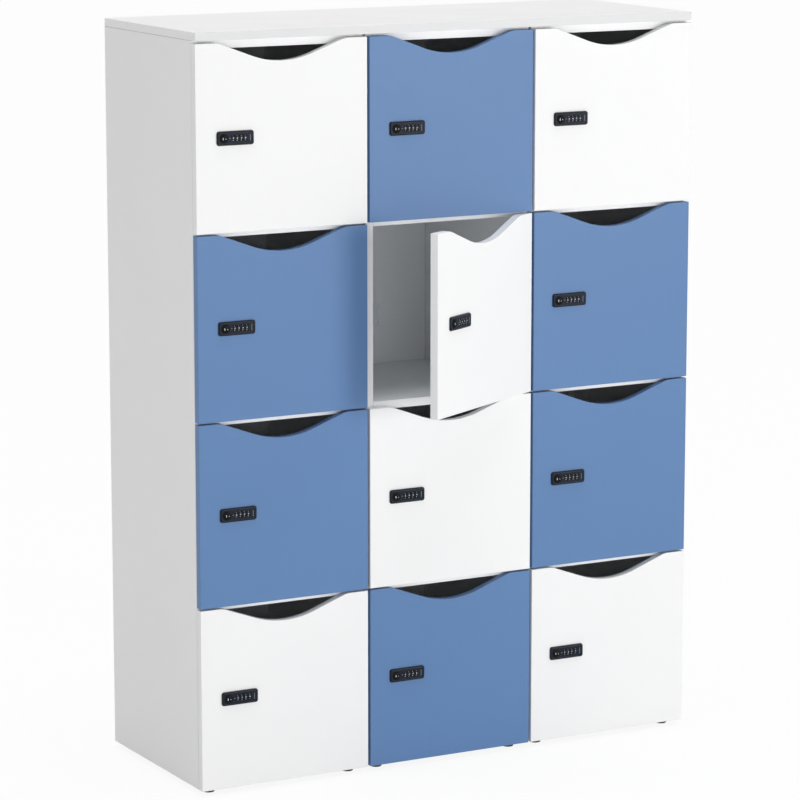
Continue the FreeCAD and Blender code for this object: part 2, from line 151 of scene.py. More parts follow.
def node(tree, kind, inputs=None, **settings):
    """A new shader node with its inputs set or linked."""
    made = tree.nodes.new("ShaderNode" + kind)
    for name, setting in settings.items():
        setattr(made, name, setting)
    for socket, source in (inputs or {}).items():
        if isinstance(source, bpy.types.NodeSocket):
            tree.links.new(source, made.inputs[socket])
        else:
            made.inputs[socket].default_value = source
    return made


def math_node(tree, operation, first, second, clamp=False):
    made = node(tree, "Math", {0: first, 1: second}, operation=operation, use_clamp=clamp)
    return made.outputs[0]


def mix_colour(tree, factor, first, second):
    mixer = node(tree, "Mix", {MIX_FACTOR: factor, MIX_A: first, MIX_B: second}, data_type="RGBA")
    return mixer.outputs[MIX_RESULT]


def opaque(colour):
    return (*colour, 1.0)


print("node helpers ready")

# %% [markdown]
# ## Studio: light, background and floor
#
# The photograph is a cut-out on pure white, lit softly from the front, the right and above: the
# fronts are brightest, the left side is in half shade, and the doors grow a little darker away
# from the lamp. A sun is equally bright everywhere, so the key light is a large soft box near the
# locker instead. A weaker soft box on the left looks into the open compartment, a wide sun above
# lights the top, and a dim white sky fills the rest. Camera rays and reflections see sky and floor
# as white, while the floor still takes a soft shadow.

# %% Studio
LOCKER_MIDDLE = (0.0, 0.0, 0.8)
SKY_FILL = 0.36
KEY_PLACE = (3.6, -6.8, 1.2)
KEY_SIZE = 2.2
KEY_POWER = 170.0
FILL_PLACE = (-3.0, -7.5, 1.4)
FILL_SIZE = 2.5
FILL_POWER = 58.0
TOP_PLACE = (0.0, 0.0, 4.0)
TOP_STRENGTH = 1.65
TOP_ANGLE = math.radians(50)
FLOOR_COLOUR = (0.93, 0.93, 0.93)
FLOOR_GLOW = 0.90
FLOOR_REACH = 150.0


def seen_directly(tree):
    """1 for rays that come from the camera, a reflection or a clear surface, otherwise 0."""
    path = node(tree, "LightPath").outputs
    either = math_node(tree, "ADD", path["Is Camera Ray"], path["Is Glossy Ray"])
    return math_node(tree, "ADD", either, path["Is Transmission Ray"], clamp=True)


world = bpy.data.worlds.new("white_studio")
world.use_nodes = True
bpy.context.scene.world = world
sky = world.node_tree
fill = math_node(sky, "MULTIPLY", seen_directly(sky), 1.0 - SKY_FILL)
strength = math_node(sky, "ADD", fill, SKY_FILL)
sky.nodes["Background"].inputs["Color"].default_value = (1, 1, 1, 1)
sky.links.new(strength, sky.nodes["Background"].inputs["Strength"])


def add_lamp(name, kind, strength, place):
    """A lamp that stands at a place and shines on the locker's middle."""
    data = bpy.data.lights.new(name, kind)
    data.energy = strength
    lamp = bpy.data.objects.new(name, data)
    lamp.location = place
    away = Vector(place) - Vector(LOCKER_MIDDLE)
    lamp.rotation_euler = away.to_track_quat("Z", "Y").to_euler()
    bpy.context.scene.collection.objects.link(lamp)
    return data


def add_soft_box(name, power, place, size):
    """A round area lamp; the wider it is, the softer its shadows."""
    box = add_lamp(name, "AREA", power, place)
    box.shape = "DISK"
    box.size = size


add_soft_box("key_light", KEY_POWER, KEY_PLACE, KEY_SIZE)
add_soft_box("fill_light", FILL_POWER, FILL_PLACE, FILL_SIZE)
top_light = add_lamp("top_light", "SUN", TOP_STRENGTH, TOP_PLACE)
top_light.angle = TOP_ANGLE

floor_material = bpy.data.materials.new("pale_floor")
floor_material.use_nodes = True
ground = floor_material.node_tree
ground.nodes.remove(ground.nodes["Principled BSDF"])
matt = node(ground, "BsdfDiffuse", {"Color": opaque(FLOOR_COLOUR)})
glow = node(ground, "Emission", {"Color": (1, 1, 1, 1), "Strength": 1.0})
share = math_node(ground, "MULTIPLY", seen_directly(ground), FLOOR_GLOW)
both = node(ground, "MixShader", {0: share, 1: matt.outputs[0], 2: glow.outputs[0]})
ground.links.new(both.outputs[0], ground.nodes["Material Output"].inputs["Surface"])

floor_mesh = bpy.data.meshes.new("floor")
floor_signs = ((-1, -1), (1, -1), (1, 1), (-1, 1))
corners = [(x * FLOOR_REACH, y * FLOOR_REACH, 0) for x, y in floor_signs]
floor_mesh.from_pydata(corners, [], [(0, 1, 2, 3)])
floor_mesh.materials.append(floor_material)
floor = bpy.data.objects.new("floor", floor_mesh)
bpy.context.scene.collection.objects.link(floor)
print("sky", SKY_FILL, "key", KEY_POWER, "W, fill", FILL_POWER, "W, top", TOP_STRENGTH)

# %% [markdown]
# ## Shared surface effects
#
# Five effects come back in several finishes, so each is a node group that is built once:
#
# - the pearl texture of a pressed melamine face, with faint clouds in its colour and gloss
# - wear along edges, found by comparing the surface with a rounded copy of itself
# - painted shade in seams, darker where more of the surface is hidden within a millimetre or two
# - dust, which settles where a face looks up
# - the fine spark texture of a moulded plastic or painted face
#
# A group puts out plain values, and each material decides what they do to its colour.

# %% Group helpers
NOISE_RANGE = (0.3, 0.7)


def new_group(name, inputs, outputs):
    """A shader node group with number sockets; gives its tree, inputs and outputs."""
    tree = bpy.data.node_groups.new(name, "ShaderNodeTree")
    for label, usual in inputs.items():
        socket = tree.interface.new_socket(label, in_out="INPUT", socket_type="NodeSocketFloat")
        socket.default_value = usual
    for label in outputs:
        tree.interface.new_socket(label, in_out="OUTPUT", socket_type="NodeSocketFloat")
    entry = tree.nodes.new("NodeGroupInput").outputs
    leave = tree.nodes.new("NodeGroupOutput").inputs
    return tree, entry, leave


def noise(tree, scale, detail):
    """Cloudy values about 0.5, mostly inside NOISE_RANGE, fixed to the object."""
    place = node(tree, "TexCoord").outputs["Object"]
    return node(tree, "TexNoise", {"Vector": place, "Scale": scale, "Detail": detail}).outputs[0]


def remap(tree, source, low, high, to_low, to_high):
    """Stretch values from one range to another, held inside it."""
    limits = {"Value": source, 1: low, 2: high, 3: to_low, 4: to_high}
    return node(tree, "MapRange", limits).outputs[0]


print("group helpers ready")

# %% Group: pressed melamine
SMEAR_SCALE = 23.0
SMEAR_GLOSS = (0.36, 0.385)
PEARL_GLOSS = 0.03


def make_melamine():
    tree, entry, leave = new_group("pressed_melamine", {"Pearl Scale": 700.0, "Cloud Scale": 4.0},
                                   ("Tone", "Gloss", "Height"))
    pearl = noise(tree, entry["Pearl Scale"], 3.0)
    cloud = noise(tree, entry["Cloud Scale"], 4.0)
    smear = noise(tree, SMEAR_SCALE, 5.0)
    tree.links.new(remap(tree, cloud, *NOISE_RANGE, 0.0, 1.0), leave["Tone"])
    rough = math_node(tree, "ADD", remap(tree, smear, 0.35, 0.65, *SMEAR_GLOSS),
                      remap(tree, pearl, *NOISE_RANGE, -PEARL_GLOSS, PEARL_GLOSS))
    tree.links.new(rough, leave["Gloss"])
    tree.links.new(pearl, leave["Height"])
    return tree


melamine = make_melamine()
print("group", melamine.name)

# %% Group: wear along edges
WEAR_BEGINS, WEAR_FULL = 0.995, 0.80
WEAR_SCALE = 55.0


def make_edge_wear():
    tree, entry, leave = new_group("edge_wear", {"Radius": 1.5 * MM, "Strength": 1.0}, ("Mask",))
    rounded = node(tree, "Bevel", {"Radius": entry["Radius"]}, samples=6).outputs["Normal"]
    true = node(tree, "NewGeometry").outputs["Normal"]
    alike = node(tree, "VectorMath", {0: rounded, 1: true}, operation="DOT_PRODUCT")
    edge = remap(tree, alike.outputs["Value"], WEAR_BEGINS, WEAR_FULL, 0.0, 1.0)
    broken = remap(tree, noise(tree, WEAR_SCALE, 6.0), 0.42, 0.62, 0.0, 1.0)
    worn = math_node(tree, "MULTIPLY", edge, broken)
    tree.links.new(math_node(tree, "MULTIPLY", worn, entry["Strength"], clamp=True), leave["Mask"])
    return tree


edge_wear = make_edge_wear()
print("group", edge_wear.name)

# %% Group: painted shade in seams
SHADE_FULL, SHADE_ENDS = 0.35, 0.85


def make_seam_grime():
    tree, entry, leave = new_group("painted_seam_shade", {"Reach": 1.8 * MM, "Strength": 0.7}, ("Mask",))
    # Painted shade: the mask grows where ambient occlusion finds other surfaces close by, in seams
    # and joints.
    around = node(tree, "AmbientOcclusion", {"Distance": entry["Reach"]}, samples=8)
    hidden = remap(tree, around.outputs["AO"], SHADE_FULL, SHADE_ENDS, 1.0, 0.0)
    tree.links.new(math_node(tree, "MULTIPLY", hidden, entry["Strength"]), leave["Mask"])
    return tree


painted_seam_shade = make_seam_grime()
print("group", painted_seam_shade.name)

# %% Group: dust
PATCH_SCALE = 9.0


def make_dust():
    tree, entry, leave = new_group("settled_dust", {"Strength": 0.2}, ("Mask",))
    normal = node(tree, "NewGeometry").outputs["Normal"]
    upward = node(tree, "SeparateXYZ", {0: normal}).outputs["Z"]
    lying = remap(tree, upward, 0.5, 1.0, 0.0, 1.0)
    patches = remap(tree, noise(tree, PATCH_SCALE, 8.0), 0.35, 0.75, 0.1, 1.0)
    settled = math_node(tree, "MULTIPLY", lying, patches)
    tree.links.new(math_node(tree, "MULTIPLY", settled, entry["Strength"]), leave["Mask"])
    return tree


dust = make_dust()
print("group", dust.name)

# %% Group: spark texture
RUB_SCALE = 160.0
RUB_GLOSS = 0.06


def make_spark():
    tree, entry, leave = new_group("spark_texture", {"Scale": 2500.0, "Gloss": 0.4},
                                   ("Tone", "Gloss", "Height"))
    grains = noise(tree, entry["Scale"], 2.0)
    rubbed = noise(tree, RUB_SCALE, 4.0)
    tree.links.new(remap(tree, rubbed, *NOISE_RANGE, 0.0, 1.0), leave["Tone"])
    change = remap(tree, rubbed, *NOISE_RANGE, -RUB_GLOSS, RUB_GLOSS)
    tree.links.new(math_node(tree, "ADD", entry["Gloss"], change), leave["Gloss"])
    tree.links.new(grains, leave["Height"])
    return tree


spark = make_spark()
print("group", spark.name)

# %% [markdown]
# ## Finishes
#
# Four finishes cover the boards: half of the doors are white melamine and the other half blue, the
# carcass is white outside and a lighter, cooler white inside, which is painted light in the
# compartments, and the finishing top has an edging strip along its front, a little darker than its
# faces. The locks are black moulded plastic with a navy face and painted numbers, the hinges are
# nickel-plated steel and the strike plates are painted.
#
# Every finish is the same small recipe: two close tones mixed by a group's clouds, worn edges,
# painted shade in seams and dust laid over them, and the group's gloss and height on the shader.

# %% Material recipe
DUST_COLOUR = (0.62, 0.61, 0.59)
# The colour that the painted shade in seams darkens towards.
SEAM_SHADE_COLOUR = (0.10, 0.10, 0.11)
RELIEF_STRENGTH = 0.35


def use_group(tree, group, values):
    """Place a node group in a material with its own values, and give its outputs."""
    placed = tree.nodes.new("ShaderNodeGroup")
    placed.node_tree = group
    for label, number in values.items():
        placed.inputs[label].default_value = number
    return placed.outputs


def shaded(colour, share):
    return opaque([channel * share for channel in colour])


def make_finish(name, colour, texture, texture_values, variation=0.03, wear_colour=None, wear=0.0,
                seam_shade=0.0, dusty=0.0, bump=0.04 * MM, metallic=0.0, specular=0.5):
    """A material of two close tones with worn edges, painted seam shade, dust, gloss and a fine
    relief.
    """
    material = bpy.data.materials.new(name)
    material.use_nodes = True
    tree = material.node_tree
    shader = tree.nodes["Principled BSDF"]
    surface = use_group(tree, texture, texture_values)
    darker, lighter = shaded(colour, 1 - variation), shaded(colour, 1 + variation)
    tone = mix_colour(tree, surface["Tone"], darker, lighter)
    # Worn edges and dust are the thing's own colour; the seam layer is painted shade.
    layers = ((edge_wear, wear, wear_colour), (painted_seam_shade, seam_shade, SEAM_SHADE_COLOUR),
              (dust, dusty, DUST_COLOUR))
    for group, amount, laid_over in layers:
        if amount:
            mask = use_group(tree, group, {"Strength": amount})["Mask"]
            tone = mix_colour(tree, mask, tone, opaque(laid_over))
    tree.links.new(tone, shader.inputs["Base Color"])
    tree.links.new(surface["Gloss"], shader.inputs["Roughness"])
    relief = node(tree, "Bump", {"Height": surface["Height"], "Distance": bump,
                                 "Strength": RELIEF_STRENGTH})
    tree.links.new(relief.outputs[0], shader.inputs["Normal"])
    shader.inputs["Metallic"].default_value = metallic
    shader.inputs["Specular IOR Level"].default_value = specular
    return material


print("recipe ready")

# %% Board finishes
WHITE = (0.90, 0.90, 0.90)
BLUE = (0.120, 0.228, 0.441)
# Painted light: a lighter, cooler copy of the white for the faces inside the compartments.
INSIDE_LIT_WHITE = (0.907, 0.924, 0.936)
EDGING_WHITE = (0.75, 0.755, 0.76)
FACE = {"Pearl Scale": 700.0, "Cloud Scale": 3.0}

white_board = make_finish("white_melamine", WHITE, melamine, FACE, variation=0.008,
                          wear_colour=(0.66, 0.65, 0.63), wear=0.25, seam_shade=0.7, dusty=0.10,
                          specular=0.10)
blue_board = make_finish("blue_melamine", BLUE, melamine, FACE, variation=0.015,
                         wear_colour=(0.30, 0.40, 0.58), wear=0.20, dusty=0.10, specular=0.17)
inside_lit_board = make_finish("inside_melamine_painted_light", INSIDE_LIT_WHITE, melamine, FACE, variation=0.012,
                          wear_colour=(0.60, 0.60, 0.60), wear=0.2, seam_shade=0.3, dusty=0.03,
                          specular=0.12)
edging = make_finish("white_edging", EDGING_WHITE, melamine, FACE, variation=0.01,
                     wear_colour=(0.60, 0.59, 0.57), wear=0.3, specular=0.10)
boards = (white_board, blue_board, inside_lit_board, edging)
print("boards:", [finish.name for finish in boards])

# %% Fitting finishes
lock_black = make_finish("black_lock_plastic", (0.004, 0.006, 0.010), spark,
                         {"Scale": 2500.0, "Gloss": 0.34}, variation=0.15,
                         wear_colour=(0.05, 0.055, 0.065), wear=0.6, specular=0.22)
lock_navy = make_finish("navy_lock_face", (0.006, 0.012, 0.026), spark,
                        {"Scale": 2500.0, "Gloss": 0.45}, variation=0.10, specular=0.14)
knob_black = make_finish("black_knob_plastic", (0.002, 0.002, 0.003), spark,
                         {"Scale": 2500.0, "Gloss": 0.42}, variation=0.15,
                         wear_colour=(0.03, 0.03, 0.035), wear=0.4, specular=0.12)
# White paint for the digits and for the painted glints on the knob.
number_and_glint_paint = make_finish("white_number_and_glint_paint", (0.78, 0.79, 0.80), spark,
                           {"Scale": 4000.0, "Gloss": 0.5}, variation=0.05, bump=0.01 * MM)
# Grey paint for the dash and for the painted highlight line on the lock face.
mark_and_highlight_grey = make_finish("grey_mark_and_highlight_paint", (0.26, 0.27, 0.28), spark,
                        {"Scale": 4000.0, "Gloss": 0.5}, variation=0.05, bump=0.01 * MM)
nickel = make_finish("nickel_plated_steel", (0.62, 0.61, 0.59), spark,
                     {"Scale": 900.0, "Gloss": 0.30}, variation=0.06, bump=0.01 * MM, metallic=1.0)
strike_paint = make_finish("pale_painted_steel", (0.30, 0.32, 0.34), spark,
                           {"Scale": 1500.0, "Gloss": 0.45}, variation=0.04,
                           wear_colour=(0.40, 0.40, 0.40), wear=0.6)
foot_plastic = make_finish("black_foot_plastic", (0.018, 0.018, 0.019), spark,
                           {"Scale": 1800.0, "Gloss": 0.5}, variation=0.15,
                           wear_colour=(0.07, 0.07, 0.07), wear=0.6, dusty=0.3)
fittings = (lock_black, lock_navy, knob_black, number_and_glint_paint, mark_and_highlight_grey, nickel, strike_paint,
            foot_plastic)
print("fittings:", [finish.name for finish in fittings])

# %% [markdown]
# ## Boards
#
# The boards are right as they come from CAD, apart from their dead sharp edges. A real edging
# strip is rounded by about a millimetre, and that small round is what catches the light along
# every door. Modifiers add it without touching the CAD mesh: a weld closes the mesh, planar
# triangles are merged into faces, a bevel rounds what is left, and weighted normals keep the
# large faces flat.

# %% Edge rounding
WELD_REACH = 0.01 * MM
FLAT_ANGLE = math.radians(0.5)
SHARP_ANGLE = math.radians(40)
ROUND_SEGMENTS = 2
FLAT_WEIGHT = 60


def round_edges(obj, radius):
    """Round the sharp edges of a CAD node with modifiers."""
    for face in obj.data.polygons:
        face.use_smooth = True
    weld = obj.modifiers.new("close", "WELD")
    weld.merge_threshold = WELD_REACH
    merge = obj.modifiers.new("merge_flat_faces", "DECIMATE")
    merge.decimate_type = "DISSOLVE"
    merge.angle_limit = FLAT_ANGLE
    merge.delimit = {"MATERIAL"}
    bevel = obj.modifiers.new("round_edges", "BEVEL")
    bevel.width = radius
    bevel.segments = ROUND_SEGMENTS
    bevel.limit_method = "ANGLE"
    bevel.angle_limit = SHARP_ANGLE
    flat = obj.modifiers.new("keep_faces_flat", "WEIGHTED_NORMAL")
    flat.weight = FLAT_WEIGHT


def finish_node(name, *materials):
    """Give a CAD node its materials; the first covers it until faces are told otherwise."""
    mesh = nodes[name].data
    mesh.materials.clear()
    for material in materials:
        mesh.materials.append(material)
    for face in mesh.polygons:
        face.material_index = 0
    return nodes[name]


print("rounding ready")

# %% [markdown]
# The carcass boards are plain white on the outside and along their edges. Where they face into a
# compartment they get a lighter, cooler white, painted light that brightens the compartments.
# Which
# face is which needs no list: a point just in front of an inside face lies within a column's inner
# space, and a point in front of any other face doesn't.

# %% Carcass boards
CARCASS = ("finishing_top", "outer_side_left", "outer_side_right", "inner_side_panels",
           "column_tops", "column_bottoms", "shelves", "back_panels")
EDGING_ROUND = 0.8 * MM
TOP_ROUND = 1.3 * MM
SPACER_ROUND = 0.4 * MM
PROBE = 1.0 * MM
FRONTWARD = -0.5
INSIDE, EDGING = 1, 2

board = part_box("outer_side_left")[1].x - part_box("outer_side_left")[0].x
inner_low = Vector((0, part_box("column_bottoms")[0].y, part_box("column_bottoms")[1].z))
inner_high = Vector((0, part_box("back_panels")[1].y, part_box("column_tops")[0].z))
column_doors = [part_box("door_" + letter + "1") for letter in "abc"]
column_spans = [(low.x + board, high.x - board) for low, high in column_doors]


def looks_inside(face):
    """True for a face that a compartment's contents could touch."""
    point = face.center + face.normal * PROBE
    in_column = any(left < point.x < right for left, right in column_spans)
    return (in_column and inner_low.y < point.y < inner_high.y
            and inner_low.z - PROBE < point.z < inner_high.z + PROBE)


inside_faces = 0
for name in CARCASS:
    panel = finish_node(name, white_board, inside_lit_board)
    for face in panel.data.polygons:
        # Inside faces get the lighter, cooler white, painted light for the compartments.
        if looks_inside(face):
            face.material_index = INSIDE
            inside_faces += 1
    round_edges(panel, TOP_ROUND if name == "finishing_top" else EDGING_ROUND)
top_board = nodes["finishing_top"].data
top_board.materials.append(edging)
for face in top_board.polygons:
    if face.normal.y < FRONTWARD:
        face.material_index = EDGING
spacers = finish_node("column_spacers", foot_plastic)
round_edges(spacers, SPACER_ROUND)
print(len(CARCASS), "carcass nodes with", inside_faces, "inside faces")

# %% Doors
for door in doors:
    panel = finish_node("door_" + door, blue_board if door in BLUE_DOORS else white_board)
    round_edges(panel, EDGING_ROUND)
print(len(doors), "doors,", len(BLUE_DOORS), "of them blue")

# %% [markdown]
# ## Skins through rings
#
# Lock cases, knobs, screws and feet all have the same build: a closed skin stretched through a
# row of outlines, with a cap at each end. A turned part uses circles, a moulded plate uses
# rounded rectangles, and a knurled rim uses a circle whose radius goes up and down. Every ring
# lies in the xz plane, and `out` is how far it stands out towards the front.

# %% Ring helpers
SMOOTH_ANGLE = math.radians(35)
BACKWARD = Matrix.Rotation(math.pi, 4, "Z")
TO_LEFT = Matrix.Rotation(-math.pi / 2, 4, "Z")
TO_RIGHT = Matrix.Rotation(math.pi / 2, 4, "Z")


def disc_ring(radius, out, steps):
    """A circle about the y axis."""
    turns = [2 * math.pi * i / steps for i in range(steps)]
    return [Vector((radius * math.cos(t), -out, radius * math.sin(t))) for t in turns]


def knurled_ring(radius, depth, out, teeth):
    """A circle with a row of small teeth, depth high."""
    ring = disc_ring(radius, out, 2 * teeth)
    inner = disc_ring(radius - depth, out, 2 * teeth)
    return [inner[i] if i % 2 else ring[i] for i in range(2 * teeth)]


def plate_ring(width, height, corner, out, steps=5):
    """A rectangle with rounded corners."""
    ring = []
    for quarter, (x, z) in enumerate(((1, 1), (-1, 1), (-1, -1), (1, -1))):
        for i in range(steps + 1):
            turn = math.pi / 2 * (quarter + i / steps)
            ring.append(Vector((x * (width / 2 - corner) + corner * math.cos(turn), -out,
                                z * (height / 2 - corner) + corner * math.sin(turn))))
    return ring


def skin(bm, rings, place=Matrix(), material=0, wrap=False):
    """A closed skin through rings of equal length; wrap joins the last to the first."""
    loops = [[bm.verts.new(place @ point) for point in ring] for ring in rings]
    faces = []
    pairs = list(zip(loops, loops[1:] + loops[:1]))
    for first, second in pairs if wrap else pairs[:-1]:
        for i in range(len(first)):
            j = (i + 1) % len(first)
            faces.append(bm.faces.new((first[i], first[j], second[j], second[i])))
    if not wrap:
        faces += [bm.faces.new(loops[0]), bm.faces.new(loops[-1])]
    for face in faces:
        face.material_index = material


def mesh_of(name, bm, *materials):
    """Turn built geometry into a mesh with outward faces."""
    bmesh.ops.recalc_face_normals(bm, faces=bm.faces)
    mesh = bpy.data.meshes.new(name)
    bm.to_mesh(mesh)
    bm.free()
    for material in materials:
        mesh.materials.append(material)
    return mesh


def smooth_by_angle(mesh):
    mesh.shade_smooth()
    mesh.set_sharp_from_angle(angle=SMOOTH_ANGLE)
    return mesh


def put(name, mesh, body, place=Matrix(), replaced=()):
    """Place a piece on the body that carries it."""
    piece = bpy.data.objects.new(name, mesh)
    bpy.context.scene.collection.objects.link(piece)
    piece.matrix_world = place
    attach(piece, body)
    if replaced:
        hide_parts(*replaced)
    return piece


print("ring helpers ready")

# %% [markdown]
# ## Lock case
#
# The lock is a low black moulding with round corners, bowed ends and a well rounded front edge. It
# stands five millimetres proud of the door, and its body goes through the door to a cover at the
# back. A fine rim runs round a navy face with four windows for the number wheels. The outside is
# one skin, and the wheel bay, the spindle's bore and the windows are cut out of it, as the
# mould's cores would do.

# %% Lock sizes
LOCK_WIDTH, LOCK_HEIGHT, LOCK_CORNER = 85 * MM, 29.5 * MM, 4.5 * MM
LOCK_PROUD = 5 * MM
LOCK_BOW = 1.3 * MM
EDGE_ROUND = 3 * MM
EDGE_TURNS = (0, 22, 45, 68, 90)
BODY_WIDTH, BODY_HEIGHT, BODY_CORNER = 77 * MM, 27.1 * MM, 1 * MM
RIM = 0.7 * MM
FACE_SINK = 0.4 * MM
# Rim: drawn in by, sunk by
RIM_STEPS = ((0.0, 0.0), (0.2 * MM, 0.1 * MM), (0.3 * MM, FACE_SINK))
WHEELS = 4
WHEEL_PITCH = 9.3 * MM
WHEEL_WIDTH = 6.4 * MM
FIRST_WHEEL = -6 * MM
WHEEL_RADIUS = 9 * MM
WINDOW_WIDTH, WINDOW_HEIGHT, WINDOW_CORNER = 7.2 * MM, 12.6 * MM, 0.6 * MM
# Window edge: larger by, corner, distance out of the face
WINDOW_FLARE = ((0.0, WINDOW_CORNER, -0.5 * MM), (1.0 * MM, 1.0 * MM, 0.0),
                (1.4 * MM, 1.2 * MM, 0.5 * MM))
BAY_HEIGHT, BAY_CORNER = 19 * MM, 1 * MM
BAY_WALL = 0.9 * MM
BAY_ROOM = 3 * MM
SPINDLE_RADIUS, SPINDLE_PLAY = 4 * MM, 0.4 * MM
CUT_PAST = 1 * MM
# Cover: wider than the bay by, lower than the body by, corner, depth
COVER_STEPS = ((4 * MM, 0.4 * MM, 2 * MM, 0), (4 * MM, 0.4 * MM, 2 * MM, 0.8 * MM),
               (3 * MM, 1.4 * MM, 1.6 * MM, 1.2 * MM))
COVER_SCREW_RADIUS, COVER_SCREW_INSET, COVER_SCREW_SEAT = 2 * MM, 2 * MM, 1.1 * MM
PIN_RADIUS = 1.4 * MM
NAVY = 1
door_thickness = door_high.y - door_low.y
wheel_places = [FIRST_WHEEL + i * WHEEL_PITCH for i in range(WHEELS)]
bay_middle = (wheel_places[0] + wheel_places[-1]) / 2
bay_width = wheel_places[-1] - wheel_places[0] + WHEEL_WIDTH + BAY_ROOM
print("wheels at", [round(x / MM, 1) for x in wheel_places], "mm from the lock's middle")

# %% Lock case mesh
def offset(x, z=0.0, y=0.0):
    return Matrix.Translation((x, y, z))


def solid_from(name, bm, *materials):
    """A throwaway object for cutting."""
    made = bpy.data.objects.new(name, mesh_of(name, bm, *materials))
    bpy.context.scene.collection.objects.link(made)
    return made


def evaluated_mesh(obj):
    """An object's mesh with its modifiers or its text worked out."""
    worked_out = obj.evaluated_get(bpy.context.evaluated_depsgraph_get())
    return bpy.data.meshes.new_from_object(worked_out)


def carve(base, cutters):
    """Cut solids out of a solid, one after the other, and give the mesh that is left."""
    for cutter in cutters:
        step = base.modifiers.new("cut", "BOOLEAN")
        step.operation = "DIFFERENCE"
        step.solver = "EXACT"
        step.object = cutter
    left = evaluated_mesh(base)
    for used in (base, *cutters):
        bpy.data.objects.remove(used)
    return left


def bowed_ring(inset, out):
    """The lock's outline, drawn in by inset all round, with ends that bow outwards."""
    half = LOCK_HEIGHT / 2
    ring = plate_ring(LOCK_WIDTH - 2 * inset, LOCK_HEIGHT - 2 * inset, LOCK_CORNER - inset, out)
    for point in ring:
        point.x -= math.copysign(LOCK_BOW * (point.z / half) ** 2, point.x)
    return ring


def lock_outside():
    """Body through the door, flange, rounded front edge, rim and sunk face."""
    rings = [plate_ring(BODY_WIDTH, BODY_HEIGHT, BODY_CORNER, out) for out in (-door_thickness, 0)]
    rings.append(bowed_ring(0, 0))
    for degrees in EDGE_TURNS:
        turn = math.radians(degrees)
        rings.append(bowed_ring(EDGE_ROUND * (1 - math.cos(turn)),
                                LOCK_PROUD - EDGE_ROUND * (1 - math.sin(turn))))
    for inset, sunk in RIM_STEPS:
        rings.append(bowed_ring(EDGE_ROUND + RIM + inset, LOCK_PROUD - sunk))
    bm = bmesh.new()
    skin(bm, rings)
    bm.faces.ensure_lookup_table()
    bm.faces[-1].material_index = NAVY
    return solid_from("lock_outside", bm, lock_black, lock_navy)


def window_ring(grow, corner, out):
    """A window's outline, larger by grow."""
    return plate_ring(WINDOW_WIDTH + grow, WINDOW_HEIGHT + grow, corner, out)


def lock_cores():
    """What the mould leaves open: wheel bay, spindle bore and the four windows."""
    deep = -door_thickness - CUT_PAST
    face = LOCK_PROUD - FACE_SINK
    bay_top = face - BAY_WALL
    bay = bmesh.new()
    room = [plate_ring(bay_width, BAY_HEIGHT, BAY_CORNER, out) for out in (deep, bay_top)]
    skin(bay, room, offset(bay_middle))
    bore_ends = (deep, LOCK_PROUD + CUT_PAST)
    bore = [disc_ring(SPINDLE_RADIUS + SPINDLE_PLAY, out, 24) for out in bore_ends]
    skin(bay, bore, offset(knob_x))
    windows = bmesh.new()
    for x in wheel_places:
        rings = [window_ring(0.0, WINDOW_CORNER, bay_top - CUT_PAST)]
        rings += [window_ring(grow, corner, face + out) for grow, corner, out in WINDOW_FLARE]
        skin(windows, rings, offset(x))
    return [solid_from("bay_core", bay), solid_from("window_cores", windows)]


# Screw, as shares of its radius: rings of the head, points of the cross, its top and bottom
SCREW_STEPS = 16
SCREW_HEAD = ((1.0, 0.0), (1.0, 0.25), (0.86, 0.42), (0.70, 0.48))
SCREW_CROSS = (0.62, 0.34, 0.24, 0.34)
CROSS_TOP, CROSS_BOTTOM = 0.49, 0.15


def add_screw(bm, place, radius):
    """A low pan-head screw with a cross recess, standing out along -y of its place."""
    cross = [share * radius for share in SCREW_CROSS] * (SCREW_STEPS // len(SCREW_CROSS))

    def crossed(out):
        ring = disc_ring(1.0, 0, SCREW_STEPS)
        return [Vector((p.x * r, -out, p.z * r)) for p, r in zip(ring, cross)]

    head = [disc_ring(share * radius, out * radius, SCREW_STEPS) for share, out in SCREW_HEAD]
    skin(bm, head + [crossed(CROSS_TOP * radius), crossed(CROSS_BOTTOM * radius)], place)


def make_lock_case():
    case = carve(lock_outside(), lock_cores())
    bm = bmesh.new()
    bm.from_mesh(case)
    cover = [plate_ring(bay_width + wider, BODY_HEIGHT - lower, corner, -door_thickness - depth)
             for wider, lower, corner, depth in COVER_STEPS]
    skin(bm, cover, offset(bay_middle))
    for side in (-1, 1):
        x = bay_middle + side * (bay_width / 2 - COVER_SCREW_INSET)
        seat = offset(x, 0, door_thickness + COVER_SCREW_SEAT)
        add_screw(bm, seat @ BACKWARD, COVER_SCREW_RADIUS)
    pin = [disc_ring(PIN_RADIUS, out, 12) for out in (-bay_width / 2, bay_width / 2)]
    skin(bm, pin, offset(bay_middle, 0, axle.y - door_low.y) @ TO_RIGHT)
    mesh = mesh_of("lock_case", bm, lock_black, lock_navy)
    bpy.data.meshes.remove(case)
    return smooth_by_angle(mesh)


lock_case = make_lock_case()
print("lock case:", len(lock_case.polygons), "faces")

# %% [markdown]
# The face carries painted marks and no words: a short dash between the knob and the numbers, where
# the code is read, and a fine grey line near the right end, a painted highlight along the face's
# end. They are thin raised prints, so they stay crisp from close by.

# %% Lock marks and painted highlight
PRINT, PRINT_ROOT = 0.08 * MM, 0.02 * MM
MARK_CORNER = 0.35 * MM
# Dash and painted highlight line: width, height, place along the lock
DASH = (3.6 * MM, 0.8 * MM, knob_x + 13.5 * MM)
# Painted highlight: a grey line where the face's right end catches light.
END_HIGHLIGHT = (0.8 * MM, 13 * MM, LOCK_WIDTH / 2 - 9.5 * MM)


